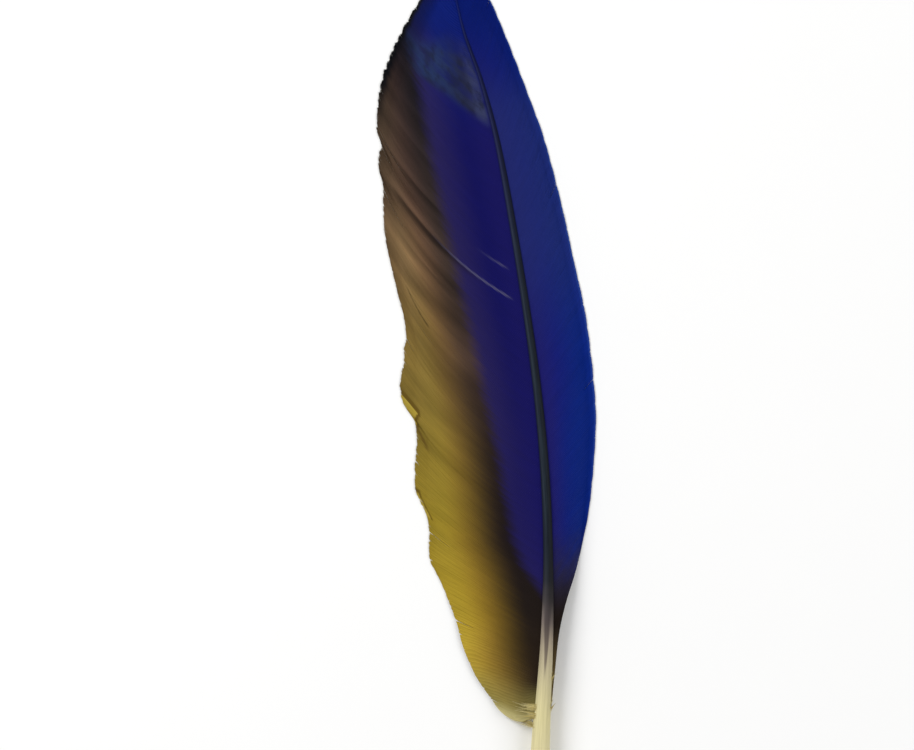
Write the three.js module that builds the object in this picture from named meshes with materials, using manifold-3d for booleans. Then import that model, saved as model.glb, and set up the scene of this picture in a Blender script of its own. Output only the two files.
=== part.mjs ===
// A macaw's wing feather, lying down with its upper side up.
// It grew as one piece, so it is one solid: the shaft with both vanes fused to it.
// Millimetres, +Z up. The quill end points to -Y and the tip to +Y. The wide inner vane is
// on the -X side and the narrow outer vane on the +X side.

import * as THREE from "three";
import { mergeVertices } from "three/addons/utils/BufferGeometryUtils.js";
import Module from "manifold-3d";

// Seen from above, each point is [across, along] from the middle of the quill's end.
// The shaft's middle line, from the quill's end to the tip.
const SHAFT_LINE = [
  [0, 0], [3.9, 23.6], [6.8, 44.6], [9.9, 65.6], [12.1, 86.7], [13.2, 108], [13.2, 129],
  [12.3, 150], [10.4, 177], [8.3, 198.8], [5.5, 215], [2.1, 228.6], [0, 244],
];
// The inner vane's free edge, from the hem of its lowest barbs to the tip.
const INNER_EDGE = [
  [4.9, 46.4], [0.9, 44.9], [-4.3, 48.3], [-9.2, 56.7], [-11.8, 62.2], [-13.6, 73],
  [-16.9, 84], [-19, 89.5], [-18.5, 99.5], [-21.1, 107.5], [-20.9, 113.5], [-19.6, 125],
  [-22.9, 133], [-21.3, 143], [-20.1, 151.5], [-21.9, 164], [-23.4, 177], [-22.8, 189],
  [-23.6, 195], [-22.4, 200.5], [-23.1, 205.5], [-20.7, 217.3], [-15.8, 227.5],
  [-9.1, 237.5], [-3.3, 243.1], [0, 244],
];
// The outer vane's free edge, from beside the shaft to the tip.
const OUTER_EDGE = [
  [9.8, 50], [11.6, 60], [13.9, 70.6], [18.9, 82], [22, 91], [24.8, 101.5], [27.5, 117.3],
  [28.4, 129], [27.9, 149], [25.9, 165.3], [23.8, 181.5], [21, 197.7], [18.2, 208.5],
  [13.5, 225], [8.6, 239.2], [4.9, 242.4], [0, 244],
];

// How far along the shaft, from 0 to 1, and how wide it is there.
const SHAFT_WIDTH = [
  [0, 2.6], [0.015, 3.7], [0.05, 4.5], [0.1, 4.9], [0.155, 5], [0.21, 4.2], [0.27, 3.4],
  [0.36, 2.6], [0.53, 2.25], [0.74, 1.85], [0.89, 1.35], [1, 0.9],
];
const SHAFT_RINGS = 44;
const SHAFT_SIDES = 12;
const SHAFT_DEPTH = 1.1; // the shaft's height for its width
const GROOVE = 0.3; // depth of the groove under the shaft, as a share of half its height
const GROOVE_START = 0.2; // the quill below this is round
const QUILL_HOLE_RADIUS = 0.75;
const QUILL_HOLE_DEPTH = 3;

const VANE_START = 0.185; // where the lowest barbs leave the shaft
const VANE_END = 0.987;
const ARCH = 6; // the shaft's underside rises this far over what the feather lies on
const ARCH_SHIFT = 1.2; // over 1 moves the top of the arch towards the tip
const DROOP = 1.8; // how the vane bends down to its edge: 1 would be straight
const PRESS = 1.6; // the edges would reach this far below the surface, so they lie flat on it
const HEM_LIFT = 1.4; // the lowest barbs hang this far clear of it
const STEEPEST = 0.8; // a short barb drops no more than this for each mm it stands out
const THICK_AT_SHAFT = 0.8;
const THICK_AT_EDGE = 0.42;
const CROWN = 0.26; // each lock's middle stands this far above its sides

const BARB_STEPS = 9;

const inner = {
  sign: -1,
  edge: spline(INNER_EDGE),
  locks: 34,
  bunching: 0.8, // under 1 sets the locks' roots further apart towards the base
  hem: 0.05, // the share of the edge that is the lowest barb's own side
  sweep: 1.8, // how fast the barbs' ends run ahead of their roots
  tipSweep: 1.2, // the same near the tip, where the barbs stand out more
  angle: 60, // between a barb's root and the shaft, in degrees
  // Where locks have parted: how far up the vane, how deep in steps, and how wide in mm.
  // A lock's middle reaches further out than its sides by the scallop.
  partings: [
    [0.03, 2, 0.35], [0.09, 2, 0.3], [0.19, 2, 0.3], [0.29, 2, 0.45], [0.39, 2, 0.25],
    [0.56, 2, 0.3], [0.62, 2, 0.3], [0.65, 3, 0.35],
  ],
  scallop: 0.55,
};
const outer = {
  sign: 1,
  edge: spline(OUTER_EDGE),
  locks: 32,
  bunching: 1,
  hem: 0,
  sweep: 1.16,
  tipSweep: 1.16,
  angle: 42,
  partings: [[0.37, 2, 0.2], [0.62, 2, 0.2], [0.9, 2, 0.2]],
  scallop: 0.3,
};

const shaftLine = spline(SHAFT_LINE);

function spline(points) {
  const curve = new THREE.SplineCurve(points.map(([x, y]) => new THREE.Vector2(x, y)));
  curve.arcLengthDivisions = 600;
  return curve;
}

function readOff(table, x) {
  let i = 1;
  while (i < table.length - 1 && x > table[i][0]) i += 1;
  const [x0, y0] = table[i - 1];
  const [x1, y1] = table[i];
  return THREE.MathUtils.mapLinear(x, x0, x1, y0, y1);
}

// A number from 0 to 1 that differs from lock to lock and is the same on every run.
function vary(i, salt) {
  const n = Math.sin(i * 12.9898 + salt * 78.233) * 43758.5453;
  return n - Math.floor(n);
}

// The shaft at s: its middle, its direction and its right-hand side seen from above, and
// half its width and height.
function shaftAt(s) {
  const middle = shaftLine.getPointAt(s);
  const along = shaftLine.getTangentAt(s);
  const half = readOff(SHAFT_WIDTH, s) / 2;
  const tall = half * SHAFT_DEPTH;
  const under = ARCH * Math.sin(Math.PI * s ** ARCH_SHIFT);
  return { middle, along, right: new THREE.Vector2(along.y, -along.x), half, tall, z: under + tall };
}

// The barb whose root is a of the way up the vane, at t of its length: a point from above.
function barbFromAbove(vane, a, t) {
  const { middle, along, right, half } = shaftAt(THREE.MathUtils.lerp(VANE_START, VANE_END, a));
  const root = middle.clone().addScaledVector(right, vane.sign * half * 0.3);
  const nearTip = THREE.MathUtils.smoothstep(a, 0.55, 0.95);
  const sweep = THREE.MathUtils.lerp(vane.sweep, vane.tipSweep, nearTip);
  const reach = vane.hem + (1 - vane.hem) * (1 - (1 - a) ** sweep);
  const end = vane.edge.getPointAt(Math.min(reach, 1));
  const angle = THREE.MathUtils.degToRad(vane.angle);
  const bend = root.clone()
    .addScaledVector(along, Math.cos(angle) * root.distanceTo(end) / 2)
    .addScaledVector(right, vane.sign * Math.sin(angle) * root.distanceTo(end) / 2);
  const point = new THREE.QuadraticBezierCurve(root, bend, end).getPoint(t);
  if (vane.hem > 0 && a < 0.06) {
    const low = root.clone().lerp(vane.edge.getPointAt(vane.hem * t), Math.min(1, t * 4));
    point.lerp(low, 1 - THREE.MathUtils.smoothstep(a, 0, 0.06));
  }
  return point;
}

// The height of the middle of the vane's thickness, before it is pressed flat.
function vaneHeight(vane, a, t) {
  const s = THREE.MathUtils.lerp(VANE_START, VANE_END, a);
  const { z, tall, right } = shaftAt(s);
  const root = z + 0.3 * tall;
  const barb = barbFromAbove(vane, a, 1).sub(barbFromAbove(vane, a, 0));
  const pressed = -PRESS * THREE.MathUtils.smoothstep(a, 0.06, 0.25);
  const edge = pressed + HEM_LIFT * (1 - THREE.MathUtils.smoothstep(a, 0, 0.15));
  const lowest = root - STEEPEST * Math.abs(barb.dot(right));
  return THREE.MathUtils.lerp(root, Math.max(edge, lowest), t ** DROOP);
}

// One vane as a closed solid. Each lock is two strips of quads, between its lower side, its
// middle and its upper side. Neighbours share a side up to where they part.
function makeVane(vane) {
  const positions = [];
  const index = [];
  const numbers = new Map();
  const lines = vane.locks * 2;
  const fraction = (k) => 1 - (1 - k / lines) ** vane.bunching;
  const parted = new Map();
  for (let k = 2; k < lines; k += 2) {
    parted.set(k, { depth: vary(k, vane.sign) > 0.7 ? 2 : 1, gap: 0.1 + 0.15 * vary(k, 3) });
  }
  for (const [at, depth, gap] of vane.partings) {
    parted.set(2 * Math.round(at * vane.locks), { depth, gap });
  }

  // The number of the vertex on line k at step j, on the top or the bottom. The part of a
  // split side that belongs to a lock leans towards that lock's middle line.
  function vertex(k, j, middleLine, top) {
    const split = parted.get(k);
    const beyond = split ? Math.max(0, j - (BARB_STEPS - split.depth)) : 0;
    const key = [k, j, beyond ? middleLine : k, top].join();
    if (numbers.has(key)) return numbers.get(key);
    const a = fraction(k);
    const isMiddle = k % 2 === 1;
    const long = barbFromAbove(vane, a, 0).distanceTo(barbFromAbove(vane, a, 1));
    const short = isMiddle ? 0 : Math.min(0.3, vane.scallop / long);
    const t = 1 - (1 - j / BARB_STEPS) ** 1.15;
    const reached = t * (1 - short * t ** 3);
    const point = barbFromAbove(vane, a, reached);
    if (beyond) {
      const towards = barbFromAbove(vane, fraction(middleLine), reached);
      const open = split.gap / 2 * beyond / split.depth;
      point.lerp(towards, Math.min(0.45, open / point.distanceTo(towards)));
    }
    const crown = (isMiddle ? CROWN : -CROWN / 2) * THREE.MathUtils.smoothstep(t, 0.05, 0.5);
    const thick = THREE.MathUtils.lerp(THICK_AT_SHAFT, THICK_AT_EDGE, t);
    const height = vaneHeight(vane, a, t) + crown;
    const under = Math.max(0, height - thick / 2);
    const over = Math.max(height + thick / 2, thick + crown + 0.15);
    positions.push(point.x, point.y, top ? over : under);
    numbers.set(key, positions.length / 3 - 1);
    return numbers.get(key);
  }

  // Faces are wound for the +X side and turned round for the -X side.
  function face(a, b, c) {
    if (vane.sign > 0) index.push(a, b, c);
    else index.push(a, c, b);
  }

  const openEdges = new Map();
  for (let k = 0; k < lines; k += 1) {
    const middleLine = k % 2 === 1 ? k : k + 1;
    for (let j = 0; j < BARB_STEPS; j += 1) {
      const corners = [[k, j], [k, j + 1], [k + 1, j + 1], [k + 1, j]];
      const top = corners.map(([line, step]) => vertex(line, step, middleLine, true));
      const low = corners.map(([line, step]) => vertex(line, step, middleLine, false));
      face(top[0], top[1], top[2]);
      face(top[0], top[2], top[3]);
      face(low[0], low[2], low[1]);
      face(low[0], low[3], low[2]);
      for (let i = 0; i < 4; i += 1) {
        const n = (i + 1) % 4;
        const other = top[n] + "," + top[i];
        if (openEdges.has(other)) openEdges.delete(other);
        else openEdges.set(top[i] + "," + top[n], [top[i], top[n], low[i], low[n]]);
      }
    }
  }
  for (const [topA, topB, lowA, lowB] of openEdges.values()) {
    face(topA, lowB, topB);
    face(topA, lowA, lowB);
  }

  const geometry = new THREE.BufferGeometry();
  geometry.setAttribute("position", new THREE.Float32BufferAttribute(positions, 3));
  geometry.setIndex(index);
  return geometry;
}

// The shaft: rings of twelve points, rounder in the quill and squarer with a groove beneath
// further up.
function makeShaft() {
  const positions = [];
  const index = [];
  for (let i = 0; i < SHAFT_RINGS; i += 1) {
    const s = (i / (SHAFT_RINGS - 1)) ** 1.15;
    const { middle, right, half, tall, z } = shaftAt(s);
    const rachis = THREE.MathUtils.smoothstep(s, GROOVE_START, GROOVE_START + 0.1);
    for (let k = 0; k < SHAFT_SIDES; k += 1) {
      const angle = (k / SHAFT_SIDES) * Math.PI * 2;
      const power = 2 + rachis;
      const cos = Math.cos(angle);
      const sin = Math.sin(angle);
      const r = (Math.abs(cos) ** power + Math.abs(sin) ** power) ** (-1 / power);
      const groove = k === SHAFT_SIDES * 3 / 4 ? GROOVE * rachis : 0;
      const point = middle.clone().addScaledVector(right, half * r * cos);
      positions.push(point.x, point.y, z + tall * (r * sin + groove));
    }
  }
  const ring = (i, k) => i * SHAFT_SIDES + (k % SHAFT_SIDES);
  for (let i = 0; i < SHAFT_RINGS - 1; i += 1) {
    for (let k = 0; k < SHAFT_SIDES; k += 1) {
      index.push(ring(i, k), ring(i + 1, k), ring(i + 1, k + 1));
      index.push(ring(i, k), ring(i + 1, k + 1), ring(i, k + 1));
    }
  }
  for (const [i, s] of [[0, 0], [SHAFT_RINGS - 1, 1]]) {
    const { middle, z } = shaftAt(s);
    positions.push(middle.x, middle.y, z);
    const hub = positions.length / 3 - 1;
    for (let k = 0; k < SHAFT_SIDES; k += 1) {
      if (i === 0) index.push(hub, ring(i, k), ring(i, k + 1));
      else index.push(hub, ring(i, k + 1), ring(i, k));
    }
  }
  const geometry = new THREE.BufferGeometry();
  geometry.setAttribute("position", new THREE.Float32BufferAttribute(positions, 3));
  geometry.setIndex(index);
  return geometry;
}

// The small hole in the quill's end, where the growing feather was fed.
function makeQuillHole() {
  const { middle, along, z } = shaftAt(0);
  const geometry = new THREE.CylinderGeometry(
    QUILL_HOLE_RADIUS * 0.6, QUILL_HOLE_RADIUS, QUILL_HOLE_DEPTH * 2, 8,
  );
  geometry.rotateZ(Math.atan2(-along.x, along.y));
  geometry.translate(middle.x, middle.y, z);
  return geometry;
}

const wasm = await Module();
wasm.setup();

function solid(geometry) {
  const bare = geometry.clone();
  bare.deleteAttribute("normal");
  bare.deleteAttribute("uv");
  const merged = mergeVertices(bare, 1e-4);
  return new wasm.Manifold(new wasm.Mesh({
    numProp: 3,
    vertProperties: new Float32Array(merged.attributes.position.array),
    triVerts: new Uint32Array(merged.index.array),
  }));
}

function geometryOf(body) {
  const mesh = body.getMesh();
  const geometry = new THREE.BufferGeometry();
  geometry.setAttribute("position", new THREE.Float32BufferAttribute(mesh.vertProperties, 3));
  geometry.setIndex(new THREE.Uint32BufferAttribute(mesh.triVerts, 1));
  return geometry;
}

const body = solid(makeShaft())
  .add(solid(makeVane(inner)))
  .add(solid(makeVane(outer)))
  .subtract(solid(makeQuillHole()));

const feather = new THREE.Mesh(
  geometryOf(body),
  new THREE.MeshStandardMaterial({ color: 0x1c2a6a, roughness: 0.55, metalness: 0 }),
);
feather.name = "feather";

// The origin is under the middle of the feather, on what it lies on.
feather.geometry.computeBoundingBox();
const box = feather.geometry.boundingBox;
feather.position.set(-(box.min.x + box.max.x) / 2, -(box.min.y + box.max.y) / 2, -box.min.z);

const group = new THREE.Group();
group.add(feather);

export default group;
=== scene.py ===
# %% [markdown]
# # A macaw's wing feather, barb by barb
#
# A flight feather is one growth. A hollow quill runs on as a solid shaft, and two vanes stand
# out from it, one wide and one narrow. Each vane is a few hundred barbs, every barb a thin
# ridge with a web on both sides, hooked to its neighbours. This one lies on a table with its
# upper side up, the way a feather comes to rest.
#
# The solid of the same feather is loaded first. It gives the size and the place of everything,
# and the barbs made here stand in for it.

# %% Load the solid and measure it
import math
import bpy
import numpy as np
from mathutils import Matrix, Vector


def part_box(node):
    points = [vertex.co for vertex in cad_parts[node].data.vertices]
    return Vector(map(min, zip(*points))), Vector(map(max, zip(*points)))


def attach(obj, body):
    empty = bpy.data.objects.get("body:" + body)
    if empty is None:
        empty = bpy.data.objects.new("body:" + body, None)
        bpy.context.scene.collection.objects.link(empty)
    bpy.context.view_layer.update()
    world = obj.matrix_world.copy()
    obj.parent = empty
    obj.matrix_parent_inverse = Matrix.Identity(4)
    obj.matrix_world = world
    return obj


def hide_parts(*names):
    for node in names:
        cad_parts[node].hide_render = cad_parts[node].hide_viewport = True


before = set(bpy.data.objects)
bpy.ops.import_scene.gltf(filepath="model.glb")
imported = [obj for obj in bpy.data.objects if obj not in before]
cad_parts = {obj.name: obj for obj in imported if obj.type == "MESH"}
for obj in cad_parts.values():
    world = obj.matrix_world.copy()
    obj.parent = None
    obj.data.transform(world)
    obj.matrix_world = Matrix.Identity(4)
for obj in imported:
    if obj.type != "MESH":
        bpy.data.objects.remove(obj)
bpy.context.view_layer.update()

low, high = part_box("feather")
print("the solid runs from", [round(v * 1000, 1) for v in low], "to",
      [round(v * 1000, 1) for v in high], "mm")

# %% [markdown]
# ## The feather's plan
#
# Seen from above, a feather is three lines: the middle of the shaft, and the free edge of each
# vane. They could be drawn as polygons, but smooth curves through a few measured points keep
# the sweep of the real thing and its small waves. The numbers are millimetres from the quill's
# end, across and along, and the solid was made from the same ones. The shaft's width is given
# at fractions of its length.

# %% Points on the shaft and on both edges
MM = 0.001
FEATHER_LENGTH = 244.0
PLAN_MIDDLE = (2.489, 121.924)

SHAFT_LINE = [
    (0, 0), (3.9, 23.6), (6.8, 44.6), (9.9, 65.6), (12.1, 86.7), (13.2, 108), (13.2, 129),
    (12.3, 150), (10.4, 177), (8.3, 198.8), (5.5, 215), (2.1, 228.6), (0, 244)]
INNER_EDGE = [
    (4.9, 46.4), (0.9, 44.9), (-4.3, 48.3), (-9.2, 56.7), (-11.8, 62.2), (-13.6, 73),
    (-16.9, 84), (-19, 89.5), (-18.5, 99.5), (-21.1, 107.5), (-20.9, 113.5), (-19.6, 125),
    (-22.9, 133), (-21.3, 143), (-20.1, 151.5), (-21.9, 164), (-23.4, 177), (-22.8, 189),
    (-23.6, 195), (-22.4, 200.5), (-23.1, 205.5), (-20.7, 217.3), (-15.8, 227.5),
    (-9.1, 237.5), (-3.3, 243.1), (0, 244)]
OUTER_EDGE = [
    (9.8, 50), (11.6, 60), (13.9, 70.6), (18.9, 82), (22, 91), (24.8, 101.5), (27.5, 117.3),
    (28.4, 129), (27.9, 149), (25.9, 165.3), (23.8, 181.5), (21, 197.7), (18.2, 208.5),
    (13.5, 225), (8.6, 239.2), (4.9, 242.4), (0, 244)]
SHAFT_WIDTH = [
    (0, 2.6), (0.015, 3.7), (0.05, 4.5), (0.1, 4.9), (0.155, 5), (0.21, 4.2), (0.27, 3.4),
    (0.36, 2.6), (0.53, 2.25), (0.74, 1.85), (0.89, 1.35), (1, 0.9)]
print("the plan:", len(SHAFT_LINE), "points on the shaft,", len(INNER_EDGE), "and",
      len(OUTER_EDGE), "on the edges")

# %% A smooth line through points
class Line:
    """A smooth line through points, read off by the fraction of its length."""

    def __init__(self, points, samples=4000):
        p = np.array(points, float)
        last = len(p) - 1
        s = np.linspace(0, last, samples)
        i = np.minimum(s.astype(int), last - 1)
        w = (s - i)[:, None]
        before, here, there = p[np.maximum(i - 1, 0)], p[i], p[i + 1]
        after = p[np.minimum(i + 2, last)]
        before = np.where((i == 0)[:, None], here, before)
        out, into = (there - before) / 2, (after - here) / 2
        self.xy = ((2 * here - 2 * there + out + into) * w ** 3
                   + (-3 * here + 3 * there - 2 * out - into) * w ** 2 + out * w + here)
        steps = np.linalg.norm(np.diff(self.xy, axis=0), axis=1)
        self.length = steps.sum()
        self.u = np.concatenate([[0], np.cumsum(steps)]) / self.length

    def at(self, u):
        return np.stack([np.interp(u, self.u, self.xy[:, k]) for k in (0, 1)], axis=-1)

    def direction(self, u):
        d = self.at(np.minimum(u + 0.002, 1)) - self.at(np.maximum(u - 0.002, 0))
        return d / np.linalg.norm(d, axis=-1, keepdims=True)


shaft_line = Line(SHAFT_LINE)
for name, line in (("shaft", shaft_line), ("inner edge", Line(INNER_EDGE)),
                   ("outer edge", Line(OUTER_EDGE))):
    print(f"{name} is {line.length:.0f} mm long")

# %% [markdown]
# ## The form in space
#
# The shaft is a gentle arch: the feather touches the table at the quill's end, at the tip and
# along the edges of both vanes. The vanes leave the upper half of the shaft and bend down. A
# barb leaves the shaft at an angle and sweeps up towards the tip. Each could be drawn by hand,
# but a quadratic curve from its root to its end, steered by that angle, is enough.

# %% Measures of the arch and the vanes, in millimetres
# The vanes' first and last barb, as fractions of the shaft's length.
VANE_START, VANE_END = 0.185, 0.987
# The arch's height, and the power that moves its top towards the tip.
ARCH, ARCH_SHIFT = 6.0, 1.2
# The shaft's height over its width.
SHAFT_DEPTH = 1.1
# The power of the vanes' bend, how hard their edges press down, how far the lowest barbs lift
# off, and the steepest slope that a barb may have.
DROOP, PRESS, HEM_LIFT, STEEPEST = 1.8, 1.6, 1.4, 0.8
THICK_AT_SHAFT, THICK_AT_EDGE = 0.8, 0.42
# How far a lock's middle rises, and how far the sheets reach, in barb lengths.
CROWN = 0.26
SHEET_REACH = 1.016
# A parting's depth is counted in ninths of a barb that get shorter towards its end.
BARB_STEPS, STEP_POWER = 9, 1.15
print("the vanes cover", round((VANE_END - VANE_START) * shaft_line.length), "mm of the shaft")

# %% Words for chance, mixing and easing
def vary(i, salt):
    """A number from 0 to 1 that looks like chance and is the same each time."""
    n = np.sin(i * 12.9898 + salt * 78.233) * 43758.5453
    return n - np.floor(n)


def mix(a, b, t):
    return a + (b - a) * t


def ease(x, start, end):
    t = np.clip((x - start) / (end - start), 0, 1)
    return t * t * (3 - 2 * t)


print("easing from 0 to 1 is at", ease(0.25, 0, 1), "after a quarter")

# %% The shaft at any point of its length
def shaft_at(s):
    """The shaft's middle, direction, right-hand side, half width, half height and height."""
    s = np.asarray(s, float)
    along = shaft_line.direction(s)
    half = np.interp(s, *zip(*SHAFT_WIDTH)) / 2
    tall = half * SHAFT_DEPTH
    right = np.stack([along[..., 1], -along[..., 0]], axis=-1)
    return (shaft_line.at(s), along, right, half, tall,
            ARCH * np.sin(np.pi * s ** ARCH_SHIFT) + tall)


print(f"the middle of the shaft is {shaft_at(0.5)[5]:.1f} mm up")

# %% A barb seen from above
def barb_from_above(vane, a, t):
    """The point at t of the length of the barb whose root is a of the way up the vane."""
    middle, along, right, half, _, _ = shaft_at(mix(VANE_START, VANE_END, a))
    t = np.asarray(t)[..., None]
    # The root is inside the shaft, at 0.3 of its half width.
    root = middle + right * (vane.side * half * 0.3)[..., None]
    sweep = mix(vane.sweep, vane.tip_sweep, ease(a, 0.55, 0.95))
    end = vane.edge.at(vane.hem + (1 - vane.hem) * (1 - (1 - a) ** sweep))
    reach = np.linalg.norm(end - root, axis=-1, keepdims=True) / 2
    angle = mix(vane.angle, vane.high_angle, ease(a, 0.2, 0.6))
    # The last barbs lie down along the shaft.
    angle = (angle * (1 - 0.9 * ease(a, 0.94, 1)))[..., None]
    bend = root + (along * np.cos(angle) + right * vane.side * np.sin(angle)) * reach
    point = mix(mix(root, bend, t), mix(bend, end, t), t)
    if vane.hem:
        # The lowest barbs follow the hem, the start of the free edge.
        low = mix(root, vane.edge.at(vane.hem * t[..., 0]), np.minimum(1, t * 4))
        point = mix(point, low, 1 - ease(a, 0, 0.06)[..., None])
    return point


def whole_barb(vane, a):
    return barb_from_above(vane, a, 0 * a + 1) - barb_from_above(vane, a, 0 * a)


print("a barb's path is ready, as it looks from above")

# %% How high a vane is
def vane_height(vane, a, t):
    _, _, right, _, tall, z = shaft_at(mix(VANE_START, VANE_END, a))
    root = z + 0.3 * tall
    stands_out = np.abs((whole_barb(vane, a) * right).sum(-1))
    edge = -PRESS * ease(a, 0.06, 0.25) + HEM_LIFT * (1 - ease(a, 0, 0.15))
    lowest = root - STEEPEST * stands_out
    return mix(root, np.maximum(edge, lowest), t ** DROOP)


print("and so is its height, down to", THICK_AT_EDGE / 2, "mm over the table")

# %% [markdown]
# ## Two vanes, each a row of locks
#
# The barbs of a vane hold together in locks, which part a little at the free edge where a few
# hooks have let go. Every barb could be a case of its own, but the eye sees the locks first, so
# each vane is described by them: how many there are, how they crowd towards the tip, how their
# barbs leave the shaft, where they part, how deep and how wide, and where the edge curls over.
# The solid has the same locks, with wider partings, because a solid's gaps have to stay clean.

# %% The numbers of each vane
class Vane:
    def __init__(self, side, edge, locks, bunching, hem, sweep, tip_sweep, angle, high_angle,
                 scallop, partings, curls=()):
        self.side, self.edge, self.locks = side, Line(edge), locks
        self.bunching, self.hem, self.sweep, self.tip_sweep = bunching, hem, sweep, tip_sweep
        self.angle, self.high_angle = math.radians(angle), math.radians(high_angle)
        self.scallop, self.curls = scallop, curls
        self.parted = {2 * math.floor(where * locks + 0.5): (depth, gap)
                       for where, depth, gap in partings}


# A parting is where it lies up the vane, its depth in steps and its gap in millimetres. A curl
# is its first and last place up the vane and how wide it is at both, in barb lengths.
INNER = Vane(
    side=-1, edge=INNER_EDGE, locks=34, bunching=0.8, hem=0.05, sweep=1.8, tip_sweep=1.2,
    angle=60, high_angle=47, scallop=0.55,
    partings=[(0.03, 2, 0.3), (0.09, 2, 0.12), (0.19, 2, 0.1), (0.29, 2, 0.1),
              (0.39, 1, 0.15), (0.56, 2, 0.25), (0.62, 2, 0.2), (0.65, 3, 0.14)],
    curls=[(0.283, 0.3223, 0.005, 0.14), (0.19, 0.2174, 0.04, 0.025)])
OUTER = Vane(
    side=1, edge=OUTER_EDGE, locks=32, bunching=1.0, hem=0.0, sweep=1.16, tip_sweep=1.16,
    angle=42, high_angle=42, scallop=0.3,
    partings=[(0.37, 2, 0.12), (0.62, 2, 0.12), (0.9, 2, 0.1)])
print(f"{INNER.locks} locks on the wide vane and {OUTER.locks} on the narrow one")

# %% [markdown]
# ## A sheet to lay the barbs on
#
# Each lock gets a small smooth sheet, whose UV map says how far up the vane and how far along
# a barb each point is. Barbs could be bent one at a time, but a sheet lets one node tree lay
# all of them at once. The sheets also carry three lengths that the colours need later.

# %% Words for meshes and objects
def keep_numbers(mesh, domain="POINT", **numbers):
    for label, values in numbers.items():
        data = mesh.attributes.new(label, "FLOAT", domain).data
        data.foreach_set("value", np.asarray(values, np.float32).ravel())


def new_mesh(name, verts, faces, smooth=False, **numbers):
    mesh = bpy.data.meshes.new(name)
    mesh.from_pydata(verts, [], faces)
    keep_numbers(mesh, **numbers)
    mesh.polygons.foreach_set("use_smooth", [smooth] * len(mesh.polygons))
    mesh.update()
    return mesh


def new_object(name, data):
    thing = bpy.data.objects.new(name, data)
    bpy.context.scene.collection.objects.link(thing)
    return thing


print("words for meshes: keep_numbers, new_mesh and new_object")

# %% Words for UV maps, and from the plan to the scene
def corner_points(mesh):
    corner = np.empty(len(mesh.loops), int)
    mesh.loops.foreach_get("vertex_index", corner)
    return corner


def add_uv(mesh, name, u, v):
    uv = np.stack([u, v], axis=-1).astype(np.float32)
    mesh.uv_layers.new(name=name).data.foreach_set("uv", uv.ravel())


def in_place(x, y, z):
    """Points of the plan, in millimetres, as points of the scene, in metres."""
    return (np.stack([x - PLAN_MIDDLE[0], y - PLAN_MIDDLE[1], z], axis=-1) * MM).reshape(-1, 3)


print("the plan's first point lies at", in_place(0, 0, 0)[0].round(4), "m")

# %% The grid of a lock, its partings and its curls
def lock_grid(vane, across=7, along=56):
    """Each point's lock, its place across and along it, and how far up the vane it and its
    lock's middle are."""
    k = np.arange(vane.locks)[:, None, None] * 2 + 1
    w = np.linspace(-1, 1, across)[None, :, None]
    t = np.linspace(0, 1, along + 1)[None, None, :]
    k, w, t = np.broadcast_arrays(k.astype(float), w, t)
    up, up_middle = (1 - (1 - x / (vane.locks * 2)) ** vane.bunching for x in (k + w, k))
    return k, w, t, up, up_middle


def lean_at_partings(vane, w, t, apart):
    """How far each point leans towards its lock's middle, which opens the partings."""
    depth, gap = np.ones_like(t), np.zeros_like(t)
    for i in range(vane.locks):
        for side, edge in ((w[i] < 0, 2 * i), (w[i] > 0, 2 * i + 2)):
            depth[i][side], gap[i][side] = vane.parted.get(edge, (1, 0))
    step = (1 - (1 - t) ** (1 / STEP_POWER)) * BARB_STEPS
    beyond = np.clip((step - BARB_STEPS) / depth + 1, 0, 1)
    return np.minimum(0.45, gap / 2 * beyond * np.abs(w) / apart)


def curl_lift(vane, u, t):
    """How far the free edge rises where it curls over."""
    lift = 0
    for first, last, wide_first, wide_last in vane.curls:
        turn = 1 - mix(wide_first, wide_last, np.clip((u - first) / (last - first), 0, 1))
        here = ease(u, first - 0.003, first + 0.003) * (1 - ease(u, last - 0.003, last + 0.003))
        lift = lift + np.minimum(0.5, 14 * (1 - turn)) * here * ease(t, turn - 0.02, 1)
    return lift


print("partings:", len(INNER.parted), "and", len(OUTER.parted), "and curls:", len(INNER.curls))

# %% The sheets of both vanes
def lock_sheets(vane, name):
    k, w, t, a, a_middle = lock_grid(vane)
    long = np.linalg.norm(whole_barb(vane, a), axis=-1)
    scallop = vane.scallop * (0.3 + 0.7 * vary(k, 8)) * mix(0.35, 1.15, a_middle)
    reached = t * (SHEET_REACH - np.minimum(0.3, scallop / long) * w ** 2 * t ** 3)
    point = barb_from_above(vane, a, reached)
    towards = barb_from_above(vane, a_middle, reached)
    apart = np.maximum(np.linalg.norm(towards - point, axis=-1), 1e-6)
    point = mix(point, towards, lean_at_partings(vane, w, t, apart)[..., None])

    u = (k + w) / (2 * vane.locks)
    firm = 0.1 + 0.3 * vary(k, 5)
    crown = firm * CROWN * (1 - 1.5 * w ** 2) * ease(t, 0.05, 0.5)
    thick = mix(THICK_AT_SHAFT, THICK_AT_EDGE, t)
    height = vane_height(vane, a, t) + crown + curl_lift(vane, u, t)
    under = np.maximum(0, height - thick / 2)
    over = np.maximum(height + thick / 2, thick + crown + 0.15)

    x, y = point[..., 0], point[..., 1]
    centre = np.interp(y, shaft_line.xy[:, 1], shaft_line.xy[:, 0])
    n = np.arange(t.size).reshape(t.shape)
    quads = np.stack([n[:, :-1, :-1], n[:, 1:, :-1], n[:, 1:, 1:], n[:, :-1, 1:]], axis=-1)
    quads = quads.reshape(-1, 4)[:, ::-vane.side]
    mesh = new_mesh(name, in_place(x, y, (under + over) / 2).tolist(), quads.tolist(), True,
                    off_shaft=np.abs(x - centre), up_feather=y, thick=over - under)
    corner = corner_points(mesh)
    add_uv(mesh, "barbs", u.ravel()[corner], t.ravel()[corner])
    return new_object(name, mesh)


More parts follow.
